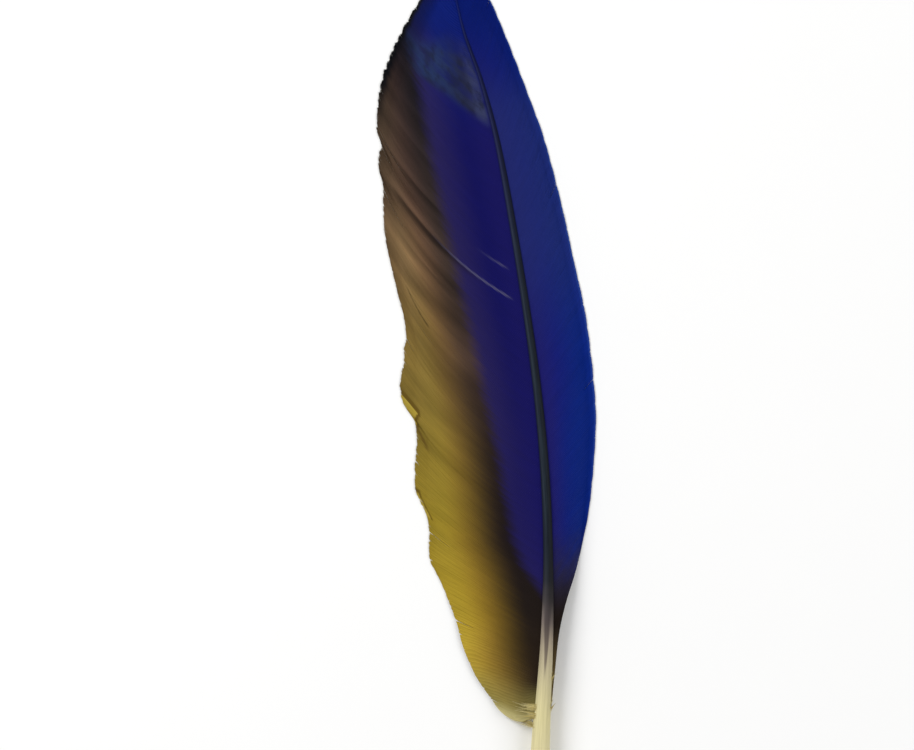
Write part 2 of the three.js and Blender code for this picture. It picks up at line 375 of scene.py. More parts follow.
inner_sheet = lock_sheets(INNER, "inner_sheet")
outer_sheet = lock_sheets(OUTER, "outer_sheet")
print("sheets of", len(inner_sheet.data.polygons), "and", len(outer_sheet.data.polygons), "faces")

# %% [markdown]
# ## One barb
#
# Cut across, a barb is a low ridge with a thin web on each side: the webs are the rows of
# barbules, far too fine to make one by one. It is a closed strip of six lines that comes to a
# point. Here it is straight, from -1 to 1 across, 0 to 1 along and -1 to 1 in height.

# %% A straight barb
SECTION = [(-1, 0.15), (-0.3, 0.3), (0, 1), (0.3, 0.3), (1, 0.15), (0, -0.9)]
BARB_ROWS = 24


def ring_faces(rings, sides, first=0):
    """Four-sided faces between rings of points, and one face to close each end."""
    faces = []
    for j in range(rings - 1):
        for i in range(sides):
            a, b = first + j * sides + i, first + j * sides + (i + 1) % sides
            faces.append((a, b, b + sides, a + sides))
    last = first + (rings - 1) * sides
    faces.append(tuple(range(first, first + sides))[::-1])
    faces.append(tuple(range(last, last + sides)))
    return faces


ends = [1 - (1 - j / BARB_ROWS) ** 1.25 for j in range(BARB_ROWS + 1)]
straight = new_mesh("one_barb", [(x, y, z) for y in ends for x, z in SECTION],
                    ring_faces(BARB_ROWS + 1, len(SECTION)))
# The section's last two sides are the underside. The two end faces aren't part of it.
under = [k % len(SECTION) >= 4 for k in range(BARB_ROWS * len(SECTION))] + [False, False]
keep_numbers(straight, "FACE", under=under)
barb = new_object("one_barb", straight)
print("a barb has", len(straight.polygons), "faces")

# %% A root for every barb
BARBS_PER_LOCK = 12


def barb_roots(vane, name):
    """A point for each barb, with its number, and the two partings that it lies between: their
    barb numbers and how far along the barb they begin."""
    number = np.arange(vane.locks * BARBS_PER_LOCK)
    begins = {k // 2 * BARBS_PER_LOCK: 1 - (depth / BARB_STEPS) ** STEP_POWER
              for k, (depth, _) in vane.parted.items()}
    begins[0] = begins[len(number)] = 0
    at = np.array(sorted(begins))
    start = np.array([begins[k] for k in at])
    part = np.searchsorted(at, number, side="right") - 1
    return new_object(name, new_mesh(
        name, [(0, 0, 0)] * len(number), [], barb_number=number, first=at[part],
        last=at[part + 1], first_from=start[part], last_from=start[part + 1]))


inner_roots = barb_roots(INNER, "inner_roots")
outer_roots = barb_roots(OUTER, "outer_roots")
print(len(inner_roots.data.vertices), "and", len(outer_roots.data.vertices), "barbs")

# %% [markdown]
# ## A node tree that lays the barbs
#
# Hooked barbs overlap like roof tiles, wander a little together, end unevenly, and keep to
# their own side of a parting. Several hundred could be placed by a loop in the script, but a
# Geometry Nodes tree shows each step, and one tree serves both vanes. It puts one straight barb
# on a point for each barb of the vane, makes the copies real, and then moves every point onto
# the sheet: how far up the vane comes from the barb's number, how far along it from its own
# length.

# %% Short words for building node trees
class Tree:
    """A few short words for building node trees."""

    def __init__(self, tree):
        self.tree = tree

    def put(self, value, socket):
        if isinstance(value, bpy.types.NodeSocket):
            self.tree.links.new(value, socket)
        elif value is not None:
            socket.default_value = value

    def node(self, kind, *values, **settings):
        n = self.tree.nodes.new(kind)
        named = {k: settings.pop(k) for k in list(settings) if k[0].isupper()}
        for key, value in settings.items():
            setattr(n, key, value)
        free = [s for s in n.inputs if s.enabled]
        for socket, value in zip(free, values):
            self.put(value, socket)
        for name, value in named.items():
            self.put(value, next(s for s in free if s.name == name.replace("_", " ")))
        return n

    def out(self, kind, *values, **settings):
        return next(s for s in self.node(kind, *values, **settings).outputs if s.enabled)

    def count(self):
        print("nodes so far:", len(self.tree.nodes))


print("words for nodes: put, node, out and count")

# %% Words for sums, soft steps, bands and noise
class SoftTree(Tree):
    def math(self, operation, *values):
        total = values[0]
        for value in values[1:]:
            total = self.out("ShaderNodeMath", total, value, operation=operation)
        return total

    def plus(self, *values):
        return self.math("ADD", *values)

    def minus(self, a, b):
        return self.math("SUBTRACT", a, b)

    def times(self, *values):
        return self.math("MULTIPLY", *values)

    def size(self, value):
        return self.out("ShaderNodeMath", value, operation="ABSOLUTE")

    def smooth(self, value, start, end, low=0.0, high=1.0):
        return self.out("ShaderNodeMapRange", value, start, end, low, high,
                        interpolation_type="SMOOTHSTEP")

    def band(self, value, rise, fall, high=1.0):
        return self.times(self.smooth(value, *rise), self.smooth(value, *fall, high, 0.0))

    def noise(self, x, y, z, detail):
        place = self.out("ShaderNodeCombineXYZ", x, y, z)
        return self.out("ShaderNodeTexNoise", place, Scale=1.0, Detail=detail)

    def named(self, name, kind="FLOAT"):
        return self.out("GeometryNodeInputNamedAttribute", name, data_type=kind)


print("and more: math, plus, minus, times, size, smooth, band, noise and named")

# %% The tree's inputs
lay_barbs = bpy.data.node_groups.new("lay_barbs", "GeometryNodeTree")
for way in ("INPUT", "OUTPUT"):
    lay_barbs.interface.new_socket("Geometry", in_out=way, socket_type="NodeSocketGeometry")
for name, kind, value in (
        ("Barb", "Object", None), ("Roots", "Object", None), ("Barbs", "Int", 400),
        ("Overlap", "Float", 1.6), ("Tile tilt mm", "Float", 0.04), ("Height", "Float", 0.4),
        ("Wander", "Float", 1.0), ("Uneven ends", "Float", 0.012), ("Seed", "Int", 1),
        ("Upper side", "Material", None), ("Underside", "Material", None)):
    socket = lay_barbs.interface.new_socket(name, in_out="INPUT",
                                            socket_type="NodeSocket" + kind)
    if value is not None:
        socket.default_value = value
t = SoftTree(lay_barbs)
given = lay_barbs.nodes.new("NodeGroupInput").outputs
print("inputs:", ", ".join(s.name for s in given if s.name))

# %% A copy of the barb for every root, all in one place
points = t.node("GeometryNodeObjectInfo", given["Roots"]).outputs["Geometry"]
one = t.node("GeometryNodeObjectInfo", given["Barb"]).outputs["Geometry"]
copies = t.out("GeometryNodeInstanceOnPoints", points, None, one)
copies = t.out("GeometryNodeRealizeInstances", copies)
number, first, last, first_from, last_from = (
    t.named(name) for name in ("barb_number", "first", "last", "first_from", "last_from"))
place = t.node("ShaderNodeSeparateXYZ", t.out("GeometryNodeInputPosition")).outputs
across, along, upwards = place["X"], place["Y"], place["Z"]
t.count()

# %% Chance for each barb, and waves that neighbours share
seed = given["Seed"]
whole = t.out("FunctionNodeFloatToInt", number)
chance = t.out("FunctionNodeRandomValue", Min=0.0, Max=1.0, ID=whole, Seed=seed)
other = t.out("FunctionNodeRandomValue", Min=-1.0, Max=1.0, ID=whole, Seed=t.plus(seed, 7))
wave = t.noise(t.times(number, 0.13), t.times(along, 2.2), t.times(seed, 9.7), 2.0)
fine = t.noise(t.times(number, 0.6), t.times(along, 5.0), t.times(seed, 3.1), 1.0)
t.count()

# %% Along the barb: some are a little short, mostly by whole tufts
SHEET_END = 0.9995
tuft = t.noise(t.times(number, 0.28), seed, 0.5, 1.0)
short = t.plus(t.times(tuft, 1.6), t.times(chance, 0.5))
along_sheet = t.times(along, t.minus(1.0, t.times(short, given["Uneven ends"])))
along_sheet = t.math("MINIMUM", along_sheet, SHEET_END)
t.count()

# %% Up the vane, in barbs: the middle, the wander and the place across it
sway = t.plus(t.times(t.minus(fine, 0.5), 0.8), t.times(other, 0.15),
              t.times(t.minus(wave, 0.5), 3.0))
sway = t.times(sway, t.smooth(along, 0.25, 1.0), given["Wander"])
narrowing = t.smooth(along, 0.96, 1.0, 1.0, 0.6)
offset = t.times(across, narrowing, given["Overlap"], 0.5)
up_vane = t.plus(t.plus(number, 0.5), t.plus(sway, offset))
t.count()

# %% No barb crosses a parting or leaves the sheet
CLEAR = 0.02


def free_before(parting):
    """Barbs of room: five where the vane is still whole, none from the parting on."""
    return t.smooth(t.minus(along, parting), -0.08, 0.0, 5.0, 0.0)


up_vane = t.math("MAXIMUM", up_vane, t.minus(t.plus(first, CLEAR), free_before(first_from)))
up_vane = t.math("MINIMUM", up_vane, t.plus(t.minus(last, CLEAR), free_before(last_from)))
up_vane = t.math("MAXIMUM", up_vane, CLEAR)
up_vane = t.math("MINIMUM", up_vane, t.minus(given["Barbs"], CLEAR))
up_vane = t.math("DIVIDE", up_vane, given["Barbs"])
t.count()

# %% The point of the sheet there, its normal and what it knows
uv = t.out("ShaderNodeCombineXYZ", up_vane, along_sheet)
sheet_uv = t.named("barbs", "FLOAT_VECTOR")


def of_sheet(value, kind="FLOAT"):
    return t.out("GeometryNodeSampleUVSurface", given["Geometry"], value, sheet_uv, uv,
                 data_type=kind)


where = of_sheet(t.out("GeometryNodeInputPosition"), "FLOAT_VECTOR")
normal = of_sheet(t.out("GeometryNodeInputNormal"), "FLOAT_VECTOR")
off_shaft, up_feather, thick = (of_sheet(t.named(name))
                                for name in ("off_shaft", "up_feather", "thick"))
tall = t.times(t.times(upwards, thick), t.times(given["Height"], 0.5))
tile = t.times(across, given["Tile tilt mm"], narrowing)
lift = t.times(t.plus(tall, tile), MM)
lift = t.out("ShaderNodeVectorMath", normal, Scale=lift, operation="SCALE")
target = t.out("ShaderNodeVectorMath", where, lift, operation="ADD")
t.count()

# %% Keep what the colours need, move the points, set the materials
# Every number is read off the straight barb, so all are kept before the points move.
made = copies
for name, value in (("target", target), ("off_shaft_mm", off_shaft),
                    ("up_feather_mm", up_feather), ("along_barb", along),
                    ("across_barb", across), ("chance", chance)):
    kind = "FLOAT_VECTOR" if name == "target" else "FLOAT"
    made = t.out("GeometryNodeStoreNamedAttribute", made, None, name, value, data_type=kind,
                 domain="POINT")
made = t.out("GeometryNodeSetPosition", made, None, t.named("target", "FLOAT_VECTOR"))
made = t.out("GeometryNodeSetMaterial", made, None, given["Upper side"])
below = t.math("GREATER_THAN", t.named("under"), 0.5)
made = t.out("GeometryNodeSetMaterial", made, below, given["Underside"])
lay_barbs.links.new(made, lay_barbs.nodes.new("NodeGroupOutput").inputs[0])
print("the tree has", len(lay_barbs.nodes), "nodes")

# %% [markdown]
# ## Colour
#
# The wide vane is blue beside the shaft and umber to golden brown outside a slanting border.
# The narrow vane is blue all the way across. So the colour of a barb depends on how far up the
# feather it is and how far off the shaft, with streaks that follow the barbs. It could be
# painted on a picture, but each point of the barbs already knows those two lengths, and short
# ramps turn them into colours that stay sharp at any distance.

# %% Named colours
def srgb(r, g, b):
    def linear(v):
        v /= 255
        return v / 12.92 if v <= 0.04045 else ((v + 0.055) / 1.055) ** 2.4
    return linear(r), linear(g), linear(b), 1.0


BLUE, VIOLET, PLUM = srgb(12, 11, 86), srgb(20, 17, 90), srgb(44, 36, 82)
ROYAL, TIP_BLUE = srgb(0, 34, 124), srgb(0, 22, 105)
UMBER, SLATE, CREAM = srgb(30, 21, 16), srgb(38, 35, 58), srgb(196, 186, 132)
print("the blue is", [round(v, 3) for v in BLUE])

# %% Words for colours
class Paint(SoftTree):
    def ramp(self, value, *stops):
        """Each stop is its place and then one number, or red, green and blue up to 255."""
        node = self.node("ShaderNodeValToRGB", value)
        marks = node.color_ramp.elements
        while len(marks) < len(stops):
            marks.new(0.5)
        for mark, (place, *what) in zip(marks, stops):
            mark.position = place
            mark.color = srgb(*what) if len(what) == 3 else (*what * 3, 1)
        return node.outputs["Color"]

    def blend(self, factor, a, b, kind="MIX"):
        return self.out("ShaderNodeMix", factor, a, b, data_type="RGBA", blend_type=kind)

    def lit(self, colour, light):
        grey = self.out("ShaderNodeCombineColor", light, light, light)
        return self.blend(1.0, colour, grey, "MULTIPLY")

    def finish(self, shader, **values):
        for name, value in values.items():
            self.put(value, shader.inputs[name.replace("_", " ")])


print("words for colours: ramp, blend, lit and finish")

# %% Words for what the points of a barb know
class BarbPaint(Paint):
    def fact(self, name):
        """A number that the points know, such as along_barb."""
        return self.node("ShaderNodeAttribute", attribute_name=name).outputs["Fac"]

    def up_and_off(self):
        """How far up the feather, from 0 to 1, and how far off the shaft, in millimetres."""
        return (self.math("DIVIDE", self.fact("up_feather_mm"), FEATHER_LENGTH),
                self.fact("off_shaft_mm"))

    def barb_noise(self, per_barb, per_length, salt):
        return self.noise(self.times(self.fact("barb_number"), per_barb),
                          self.times(self.fact("along_barb"), per_length), salt, 3.0)


def new_material(name):
    material = bpy.data.materials.new(name)
    material.use_nodes = True
    tree = material.node_tree
    return material, BarbPaint(tree), tree.nodes["Principled BSDF"]


print("and for barbs: fact, up_and_off and barb_noise")

# %% [markdown]
# ## The surface of a barb
#
# The barbules on both sides of a barb show as fine slanting lines, the ridge catches a little
# more light than the webs, and no two barbs are quite the same. That could be modelled, at
# many times the faces. Here sine lines and noise in barb numbers give a very shallow bump,
# the roughness and a tone that varies from barb to barb, and the ridge's extra light is a painted
# highlight in the base colour, so all of it runs along the barbs and the whole stays silky.

# %% Barbule lines, ridges and silk
# Both in radians of the sine: along a whole barb, and how far the lines slant over its web.
BARBULES, SLANT = 620.0, 4.0
SPECULAR = 0.08


def finish_vane(t, shader, colour, salt):
    across = t.size(t.fact("across_barb"))
    lines = t.plus(t.times(t.fact("along_barb"), BARBULES), t.times(across, SLANT))
    lines = t.out("ShaderNodeMath", lines, operation="SINE")
    light = t.plus(t.times(t.barb_noise(0.8, 5.0, salt), 0.24), 0.855,
                   t.times(t.fact("chance"), 0.08))
    # The ridge is painted a little lighter than the webs: a painted highlight in the base colour.
    ridge_highlight = t.smooth(across, 0.0, 1.0, 1.0, 0.0)
    light = t.times(light, t.plus(0.94, t.times(ridge_highlight, 0.1)))
    height = t.plus(t.times(lines, 0.35), t.barb_noise(3.0, 40.0, salt + 1))
    bump = t.node("ShaderNodeBump", Strength=0.35, Distance=0.00006, Height=height)
    rough = t.plus(0.5, t.times(t.barb_noise(1.5, 8.0, salt + 2), 0.25))
    t.finish(shader, Base_Color=t.lit(colour, light), Normal=bump.outputs["Normal"],
             Roughness=rough, Specular_IOR_Level=SPECULAR)
    print("a vane's material has", len(t.tree.nodes), "nodes")


# %% [markdown]
# ## The wide vane: where blue meets brown
#
# The border between blue and brown slants across the vane and runs into the shaft near the
# base. Just outside it the brown is darkest. Both lines could be drawn as polygons, but as
# ramps of the height they are soft, and each barb's own chance makes them a little ragged, as
# on the real feather, where every barb changes colour at its own place.

# %% Two ragged lines beside the shaft
inner_upper, t, shader = new_material("inner_vane_upper")
up, off = t.up_and_off()
number, along = t.fact("barb_number"), t.fact("along_barb")
streak = t.minus(t.barb_noise(0.22, 2.0, 3.0), 0.5)
ragged = t.plus(t.times(streak, 1.4), t.times(t.minus(t.fact("chance"), 0.5), 0.8))
LINE_FROM, LINE_RANGE = 5.0, 25.0
HIGHER_UP = [(0.433, 0.648), (0.487, 0.7), (0.54, 0.768), (0.65, 0.864), (0.757, 0.92),
             (0.81, 0.932), (0.866, 0.888), (0.93, 0.816), (0.965, 1)]


def line_off_shaft(*low_down):
    """Millimetres off the shaft. The ramp's 0 stands for -5 mm and its 1 for 20 mm."""
    line = t.times(t.ramp(up, *low_down, *HIGHER_UP), LINE_RANGE)
    return t.plus(ragged, t.minus(line, LINE_FROM))


border = line_off_shaft((0.3, 0.12), (0.325, 0.3), (0.352, 0.48), (0.38, 0.568))
darkest = line_off_shaft((0.2, 0.2), (0.25, 0.28), (0.295, 0.36), (0.352, 0.5), (0.38, 0.6))
past = t.minus(off, border)
t.count()

# %% The blue: violet at the shaft, plum towards the border, brighter at the tip
blue = t.blend(t.smooth(off, 2.0, 9.0), VIOLET, BLUE)
blue = t.blend(t.smooth(up, 0.8, 0.97), blue, TIP_BLUE)
plum = t.times(t.smooth(past, -11.0, 0.5), t.smooth(up, 0.4, 0.55, 0.45, 0.72))
blue = t.blend(plum, blue, PLUM)
t.count()

# %% [markdown]
# ## The worn patch
#
# Near the tip the blue has rubbed to grey over a band of about forty barbs. Its edges follow
# the barbs, so barb numbers mark it out, bent a little further off the shaft. Two slow noises
# keep it uneven, which a flat patch of paint would not be.

# %% Blue rubbed to grey
# The barb numbers between which the patch begins and ends, and how many barbs it bends by.
PATCH_BEGINS, PATCH_ENDS, PATCH_BEND = (349.0, 356.0), (376.0, 394.0), 9.0
wavy = t.plus(number, t.smooth(along, 0.4, 0.9, 0.0, PATCH_BEND))
closing = t.plus(wavy, t.smooth(along, 0.2, 0.8, 0.0, PATCH_BEND))
patch = t.times(t.smooth(wavy, *PATCH_BEGINS), t.smooth(closing, *PATCH_ENDS, 1.0, 0.0),
                t.smooth(along, 0.0, 0.06), t.smooth(t.barb_noise(0.15, 4.0, 8.0), 0.25, 0.6, 0.4))
wear_and_highlight = t.blend(t.smooth(along, 0.15, 0.6), srgb(32, 36, 66), srgb(34, 50, 90))
wear_and_highlight = t.blend(t.smooth(along, 0.24, 0.08), wear_and_highlight, srgb(52, 58, 92))
blotch = t.smooth(t.barb_noise(0.13, 7.0, 27.0), 0.45, 0.65, 0.0, 0.7)
wear_and_highlight = t.blend(blotch, wear_and_highlight, srgb(26, 30, 46))
blue = t.blend(patch, blue, wear_and_highlight)
t.count()

# %% [markdown]
# ## The brown margin
#
# Outside the border the vane goes from near black to golden brown low down, and to a cooler
# brown higher up. One gradient across would look the same at every height, so three ramps say
# what the margin's colour is, how dark it starts, and how far it takes to get from one to the
# other.

# %% From dark to golden brown
WIDEST_MARGIN = 20.0
margin = t.ramp(up, (0.19, 156, 142, 64), (0.25, 170, 147, 50), (0.3, 170, 146, 44),
                (0.345, 156, 134, 40), (0.42, 144, 125, 40), (0.52, 130, 111, 46),
                (0.62, 122, 101, 54), (0.69, 128, 104, 70), (0.76, 94, 75, 56),
                (0.85, 76, 62, 50), (0.92, 54, 43, 38), (1.0, 16, 20, 40))
dark = t.ramp(up, (0.2, 44, 32, 18), (0.3, 31, 23, 19), (0.38, 27, 19, 20), (0.49, 38, 28, 25),
              (0.58, 66, 50, 44), (0.67, 54, 43, 39), (0.76, 46, 37, 35), (0.87, 26, 22, 28))
reach = t.ramp(up, (0.2, 0.74), (0.255, 1.0), (0.3, 0.9), (0.38, 0.85), (0.5, 0.72),
               (0.62, 0.6), (0.8, 0.6), (0.95, 0.4))
away = t.plus(t.minus(off, darkest), t.times(streak, 1.4))
away = t.math("DIVIDE", away, t.times(reach, WIDEST_MARGIN))
away = t.math("POWER", t.math("MAXIMUM", away, 0.0), 1.2)
warm = t.blend(t.smooth(away, 0.35, 1.1), (1.0, 0.83, 0.9, 1), (1.0, 0.98, 0.95, 1))
margin = t.blend(1.0, margin, warm, "MULTIPLY")
brown = t.blend(t.smooth(away, 0.0, 1.0), dark, margin)
t.count()

# %% [markdown]
# ## Folds and creases
#
# The soft margin has folds that lean across the barbs, each a dark hollow of painted shade with
# a lighter brow of painted highlight above it. The sharpest one goes on over the blue as a pale
# crease, a line of painted light with painted shade below it, and there is a short one beside it.
# They could be raised in the sheets, but they are so shallow that painted light and shade alone
# show them. A barb's number plus a share of the length along it is the same all along a fold.

# %% Slow folds all over, and four sharp ones
# A fold crosses 18 barbs from the shaft to the free edge. Each one is named by where it starts.
FOLD_LEAN = 18.0
SHARPEST, SHORT_CREASE = 259.5, 276.5
leaning = t.plus(number, t.times(along, FOLD_LEAN))
# The slow noise and each fold's hollow and brow make one factor of painted light and shade, which
# the brown is multiplied by.
slow = t.noise(t.times(leaning, 0.08), t.times(along, 1.2), 14.0, 2.0)
fold_shading = t.plus(1.0, t.times(t.minus(slow, 0.5), t.smooth(up, 0.35, 0.7, 0.4, 1.7)))
for fold_line, strength in ((236.0, 0.3), (SHARPEST, 0.75), (280.5, 0.5), (306.0, 0.4)):
    above = t.minus(leaning, fold_line)
    hollow_shade = t.band(above, (-6.0, -0.8), (-0.6, 0.8))
    brow_highlight = t.band(above, (0.0, 2.5), (2.5, 9.0), 0.4)
    here = t.times(t.smooth(along, 0.4, 0.55), t.smooth(along, 0.72, 1.0, strength, 0.1))
    fold_shading = t.plus(fold_shading, t.times(t.minus(brow_highlight, hollow_shade), here))
colour = t.blend(t.smooth(past, -2.6, 1.8), blue, t.lit(brown, fold_shading))
t.count()

# %% Creases over the blue, and a short dark scratch
SCRATCHED_BARB, SCRATCH_BOW = 188.5, 300.0
# Painted shade below the sharpest crease, and pale painted light along both creases.
below = t.minus(SHARPEST, leaning)
shade = t.times(t.band(below, (-0.6, 0.4), (1.0, 5.0), 0.6), t.band(along, (0.2, 0.42), (0.5, 0.7)))
colour = t.blend(shade, colour, srgb(28, 19, 18))
for crease, end, strength in ((SHARPEST, 0.6, 0.8), (SHORT_CREASE, 0.28, 0.85)):
    near = t.smooth(t.size(t.minus(leaning, crease)), 0.2, 1.2, strength, 0.0)
    pale = t.times(near, t.band(along, (0.05, 0.11), (end - 0.28, end)))
    colour = t.blend(pale, colour, srgb(84, 82, 112))
bow = t.math("POWER", t.size(t.minus(along, 0.7)), 2.0)
near = t.size(t.minus(number, t.plus(SCRATCHED_BARB, t.times(bow, SCRATCH_BOW))))
scratch = t.times(t.smooth(near, 0.3, 1.3, 0.6, 0.0), t.band(along, (0.68, 0.7), (0.82, 0.85)))
colour = t.blend(scratch, colour, UMBER)
t.count()

# %% [markdown]
# ## Where the free edge curls over
#
# In two places the edge has turned up and shows its yellow underside, with a line of painted
# shadow where it turns. A true fold would need barbs that bend back on themselves, for a strip two
# millimetres wide. The sheet already lifts there, and the turned part gets the underside's
# colour here. A slanting dark line runs on from one curl.

# %% Yellow turned edge and its dark lines
SLANT_START_BARB, SLANT_LEAN = 85.5, 30.0
for first, last, wide_first, wide_last in INNER.curls:
    first, last = (u * BARBS_PER_LOCK * INNER.locks for u in (first, last))
    turn = t.out("ShaderNodeMapRange", number, first, last, 1 - wide_first, 1 - wide_last)
    over = t.math("MINIMUM", t.minus(along, turn), t.times(t.minus(last, number), 0.008))
    here = t.band(number, (first - 0.6, first + 0.8), (last + 1.5, last + 3.0))
    turned = t.times(here, t.smooth(over, -0.002, 0.003))
    colour = t.blend(turned, colour, srgb(170, 149, 60))
    # A painted shadow just inside the line where the edge turns over.
    turn_shadow = t.times(t.smooth(over, -0.028, -0.008, 0.0, 0.75),
                      t.smooth(over, -0.003, 0.003, 1.0, 0.0))
    colour = t.blend(t.times(here, turn_shadow), colour, srgb(88, 66, 16))
# A slanting dark line that runs on from the first curl.
near = t.size(t.minus(t.minus(number, SLANT_START_BARB), t.times(along, SLANT_LEAN)))
dark_slant = t.times(t.smooth(near, 0.5, 1.8, 0.65, 0.0), t.smooth(along, 0.87, 0.93))
colour = t.blend(dark_slant, colour, srgb(88, 64, 24))
t.count()

# %% [markdown]
# ## The wide vane's two ends
#
# The lowest barbs have no pigment and fade to cream. Near the tip the free edge is a thin
# black rim with dusk inside it. Both are last, so they lie over everything else.

# %% Cream at the base, a black rim near the tip
colour = t.blend(t.smooth(number, 7.0, 24.0, 0.8, 0.0), colour, srgb(142, 132, 74))
colour = t.blend(t.smooth(number, 3.0, 14.0, 0.95, 0.0), colour, CREAM)
dusk = t.times(t.smooth(along, 0.6, 0.97, 0.0, 0.6), t.smooth(up, 0.9, 0.95))
colour = t.blend(dusk, colour, srgb(14, 16, 34))
rim = t.times(t.smooth(along, 0.92, 0.985), t.smooth(up, 0.83, 0.9))
colour = t.blend(rim, colour, srgb(12, 12, 18))
finish_vane(t, shader, colour, 11.0)

# %% [markdown]
# ## The narrow vane's upper side
#
# The narrow vane cuts the air, and its barbs are blue right across: violet blue at the shaft,
# royal blue at the edge, with a thin brighter rim. Towards the base it goes through slate to
# umber. The same few words as for the wide vane are enough, without its border.

# %% Royal blue with a bright rim
outer_upper, t, shader = new_material("outer_vane_upper")
up, off = t.up_and_off()
streak = t.minus(t.barb_noise(0.22, 2.0, 3.0), 0.5)
blue = t.blend(t.smooth(off, 1.0, 7.0), srgb(27, 26, 104), srgb(16, 26, 116))
outward = t.plus(off, t.smooth(up, 0.58, 0.45, 0.0, 3.5))
blue = t.blend(t.smooth(outward, 5.0, 13.0), blue, ROYAL)
blue = t.blend(t.band(up, (0.56, 0.72), (0.84, 0.92), 0.6), blue, srgb(34, 46, 110))
colour = t.blend(t.smooth(up, 0.82, 0.97), blue, TIP_BLUE)
colour = t.blend(t.smooth(t.plus(up, t.times(streak, 0.05)), 0.4, 0.31), colour, SLATE)
rim = t.times(t.smooth(t.fact("along_barb"), 0.95, 0.99, 0.0, 0.75), t.smooth(up, 0.36, 0.45))
colour = t.blend(rim, colour, srgb(38, 70, 152))
colour = t.blend(t.smooth(up, 0.35, 0.29), colour, UMBER)
colour = t.blend(t.smooth(up, 0.29, 0.22), colour, srgb(104, 88, 54))
finish_vane(t, shader, colour, 11.0)

# %% [markdown]
# ## The underside
#
# The blue isn't a pigment: it comes from the fine build of the upper side's barbs. Below, the
# yellow pigment shows without it, as golden olive. A feather's lower faces could share the
# upper material, but then it would be blue on both sides, which no such feather is.

# %% Golden olive from below
def underside(name):
    material, t, shader = new_material(name)
    up, off = t.up_and_off()
    olive = t.ramp(up, (0.2, 168, 150, 70), (0.45, 148, 126, 46), (0.75, 134, 114, 52),
                   (0.97, 98, 84, 60))
    near = t.blend(t.smooth(off, 1.0, 6.0), srgb(186, 160, 40), olive)
    ragged = t.plus(t.fact("along_barb"), t.times(t.barb_noise(0.2, 2.0, 5.0), 0.3))
    colour = t.blend(t.smooth(ragged, 0.85, 1.15), near, srgb(120, 112, 74))
    finish_vane(t, shader, colour, 21.0)
    return material


inner_under, outer_under = underside("inner_vane_under"), underside("outer_vane_under")

# %% [markdown]
# ## The shaft's colour
#
# The quill is bare horn, bone coloured. Where the vanes begin it darkens to near black, with a
# dusky core that narrows to nothing, and at the tip it is blue. Along the middle of the shaft its
# top gets a streaky painted highlight, and the side towards the wide vane is painted lighter and
# the other side darker, as painted light and shade. Three materials could share the shaft, but
# they would meet in hard rings. One ramp along it keeps every change soft, and fine streaks run
# with it, as horn's fibres do.

# %% Bone, dusk and black along the shaft
bone, t, shader = new_material("shaft")
s, round_shaft, top = t.fact("along_shaft"), t.fact("round_shaft"), t.fact("top_middle")
tone = t.ramp(s, (0.0, 196, 186, 150), (0.06, 216, 207, 166), (0.19, 212, 202, 152),
              (0.215, 200, 190, 146), (0.243, 186, 175, 142), (0.268, 158, 146, 126),
              (0.29, 104, 94, 88), (0.312, 50, 46, 46), (0.335, 26, 27, 31),
              (0.37, 15, 19, 27), (0.6, 16, 21, 34), (0.82, 13, 17, 48), (0.92, 8, 16, 62),
              (0.97, 2, 20, 94))
streaks = t.noise(t.times(round_shaft, 26.0), t.times(s, 22.0), 0.0, 4.0)
# A streaky painted highlight along the top of the shaft's middle part.
wear_and_highlight = t.times(t.smooth(s, 0.3, 0.42), t.smooth(s, 0.6, 0.85, 1.0, 0.1))
wear_and_highlight = t.times(t.times(t.smooth(top, 0.55, 1.0), wear_and_highlight), t.smooth(streaks, 0.3, 0.6))
tone = t.blend(wear_and_highlight, tone, srgb(23, 31, 38))
t.count()

# %% The dusky core, and painted light and shade across the shaft
core = t.math("DIVIDE", t.size(t.minus(round_shaft, 0.51)), t.smooth(s, 0.225, 0.31, 0.02, 0.11))
core = t.times(t.smooth(core, 0.45, 1.1, 0.9, 0.0), t.band(s, (0.225, 0.25), (0.315, 0.335)))
dusky = t.ramp(s, (0.23, 136, 124, 106), (0.262, 96, 85, 76), (0.29, 66, 58, 57),
               (0.32, 38, 36, 38))
tone = t.blend(core, tone, dusky)
# One side painted lighter and the other darker: painted light and shade across the shaft.
painted_side_light = t.times(t.smooth(round_shaft, 0.42, 0.6, -0.2, 0.95),
                  t.band(s, (0.27, 0.32), (0.8, 0.95)))
light = t.times(t.plus(1.0, painted_side_light), t.plus(0.76, t.times(streaks, 0.48)))
bump = t.node("ShaderNodeBump", Strength=0.3, Distance=0.00008, Height=streaks)
t.finish(shader, Base_Color=t.lit(tone, light), Normal=bump.outputs["Normal"], Roughness=0.5,
         Specular_IOR_Level=0.1)
print("the shaft's material has", len(t.tree.nodes), "nodes")

# %% [markdown]
# ## The down's colour
#
# The loose barbs at the base are cream to straw yellow, each a little different, and pale at
# their ends. They are matt with a faint sheen, since their barbules have no hooks and stand
# out in the light. One chance number for each strand is all the variety that they need.

# %% Cream and straw
cream, t, shader = new_material("down")
tone = t.blend(t.fact("chance"), srgb(214, 200, 138), srgb(178, 156, 72))
tone = t.blend(t.smooth(t.fact("along_barb"), 0.4, 1.0), tone, srgb(196, 182, 128))
t.finish(shader, Base_Color=tone, Roughness=0.75, Sheen_Weight=0.2)
print("materials:", ", ".join(m.name for m in bpy.data.materials))

# %% [markdown]
# ## The two vanes
#
# The wide vane has about 400 barbs over nearly 200 mm of shaft, close to the real spacing of
# half a millimetre, and the narrow one nearly as many. The barbs could stay live in the node
# tree, but as a plain mesh they are a shape of their own that any program can read.

